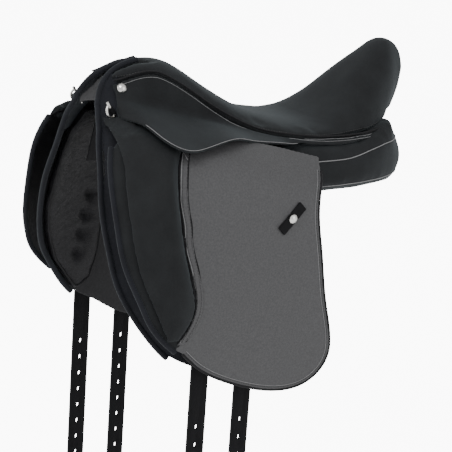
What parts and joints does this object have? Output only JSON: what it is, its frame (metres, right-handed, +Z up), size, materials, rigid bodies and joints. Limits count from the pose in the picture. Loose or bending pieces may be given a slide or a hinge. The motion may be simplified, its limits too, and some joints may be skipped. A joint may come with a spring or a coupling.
{
  "type": "english saddle",
  "caption": "English dressage saddle with deep seat, thigh blocks, straight flaps, padded panels and long girth straps.",
  "frame": {"origin": "on the middle plane under the deepest point of the seat, at the level the panels bear on the horse's back", "axes": "-Y towards the pommel and the horse's head, +Y towards the cantle, +X to the horse's left, +Z up"},
  "size_m": [0.3834, 0.5162, 0.7],
  "materials": {
    "suede": "matt napped synthetic suede",
    "foam": "open-cell foam",
    "tree_shell": "moulded",
    "steel": "zinc-plated",
    "facing_leather": "smooth, slight sheen",
    "welt": "rolled piping",
    "sweat_leather": "smooth",
    "grained_leather": "pebble grain, soft sheen",
    "webbing": "matt coated webbing",
    "bright_metal": "polished",
    "flap_panel": "fine textured, satin",
    "band": "raised, double stitched"
  },
  "bodies": {
    "saddle": {"seat_cover": "suede", "seat_foam": "foam", "tree": "tree_shell", "gullet_plate": "steel", "gullet_facing": "facing_leather", "pommel_binding": "suede", "seat_welt_left": "welt", "skirt_band_left": "suede", "sweat_flap_left": "sweat_leather", "sweat_flap_roll_left": "suede", "panel_foam_left": "foam", "panel_cover_left": "suede", "panel_front_foam_left": "foam", "panel_front_cover_left": "grained_leather", "girth_web_left": "webbing", "stirrup_bar_left": "steel", "bar_rivets_left": "steel", "saddle_nail_left": "bright_metal", "dee_chape_left": "webbing", "seat_welt_right": "welt", "skirt_band_right": "suede", "sweat_flap_right": "sweat_leather", "sweat_flap_roll_right": "suede", "panel_foam_right": "foam", "panel_cover_right": "suede", "panel_front_foam_right": "foam", "panel_front_cover_right": "grained_leather", "girth_web_right": "webbing", "stirrup_bar_right": "steel", "bar_rivets_right": "steel", "saddle_nail_right": "bright_metal", "dee_chape_right": "webbing"},
    "flap_left": {"flap_left": "flap_panel", "flap_front_roll_left": "suede", "flap_band_left": "band", "block_foam_left": "foam", "block_cover_left": "suede", "keeper_left": "webbing", "keeper_stud_left": "bright_metal"},
    "skirt_left": {"skirt_left": "suede"},
    "front_strap_left": {"girth_strap_front_left": "webbing"},
    "rear_strap_left": {"girth_strap_rear_left": "webbing"},
    "dee_left": {"front_dee_left": "bright_metal"},
    "flap_right": {"flap_right": "flap_panel", "flap_front_roll_right": "suede", "flap_band_right": "band", "block_foam_right": "foam", "block_cover_right": "suede", "keeper_right": "webbing", "keeper_stud_right": "bright_metal"},
    "skirt_right": {"skirt_right": "suede"},
    "front_strap_right": {"girth_strap_front_right": "webbing"},
    "rear_strap_right": {"girth_strap_rear_right": "webbing"},
    "dee_right": {"front_dee_right": "bright_metal"}
  },
  "joints": [
    {"name": "left_flap_lift", "type": "hinge", "parent": "saddle", "child": "flap_left", "pos_m": [0.04172, -0.258, 0.13816], "axis": [-0.2167, -0.9475, 0.235], "range_deg": [0, 65]},
    {"name": "left_skirt_lift", "type": "hinge", "parent": "flap_left", "child": "skirt_left", "pos_m": [0.04172, -0.258, 0.13816], "axis": [-0.2167, -0.9475, 0.235], "range_deg": [0, 35]},
    {"name": "right_flap_lift", "type": "hinge", "parent": "saddle", "child": "flap_right", "pos_m": [-0.04172, -0.258, 0.13816], "axis": [-0.2167, 0.9475, -0.235], "range_deg": [0, 65]},
    {"name": "right_skirt_lift", "type": "hinge", "parent": "flap_right", "child": "skirt_right", "pos_m": [-0.04172, -0.258, 0.13816], "axis": [-0.2167, 0.9475, -0.235], "range_deg": [0, 35]},
    {"name": "left_front_strap_swing", "type": "hinge", "parent": "saddle", "child": "front_strap_left", "pos_m": [0.15, -0.182, 0.055], "axis": [1, 0, 0], "range_deg": [-4, 4]},
    {"name": "left_rear_strap_swing", "type": "hinge", "parent": "saddle", "child": "rear_strap_left", "pos_m": [0.15, -0.115, 0.055], "axis": [1, 0, 0], "range_deg": [-4, 4]},
    {"name": "left_dee_swing", "type": "hinge", "parent": "saddle", "child": "dee_left", "pos_m": [0.048, -0.264, 0.122], "axis": [0, -0.5446, 0.8387], "range_deg": [-30, 35]},
    {"name": "right_front_strap_swing", "type": "hinge", "parent": "saddle", "child": "front_strap_right", "pos_m": [-0.15, -0.182, 0.055], "axis": [1, 0, 0], "range_deg": [-4, 4]},
    {"name": "right_rear_strap_swing", "type": "hinge", "parent": "saddle", "child": "rear_strap_right", "pos_m": [-0.15, -0.115, 0.055], "axis": [1, 0, 0], "range_deg": [-4, 4]},
    {"name": "right_dee_swing", "type": "hinge", "parent": "saddle", "child": "dee_right", "pos_m": [-0.048, -0.264, 0.122], "axis": [0, 0.5446, -0.8387], "range_deg": [-30, 35]}
  ]
}
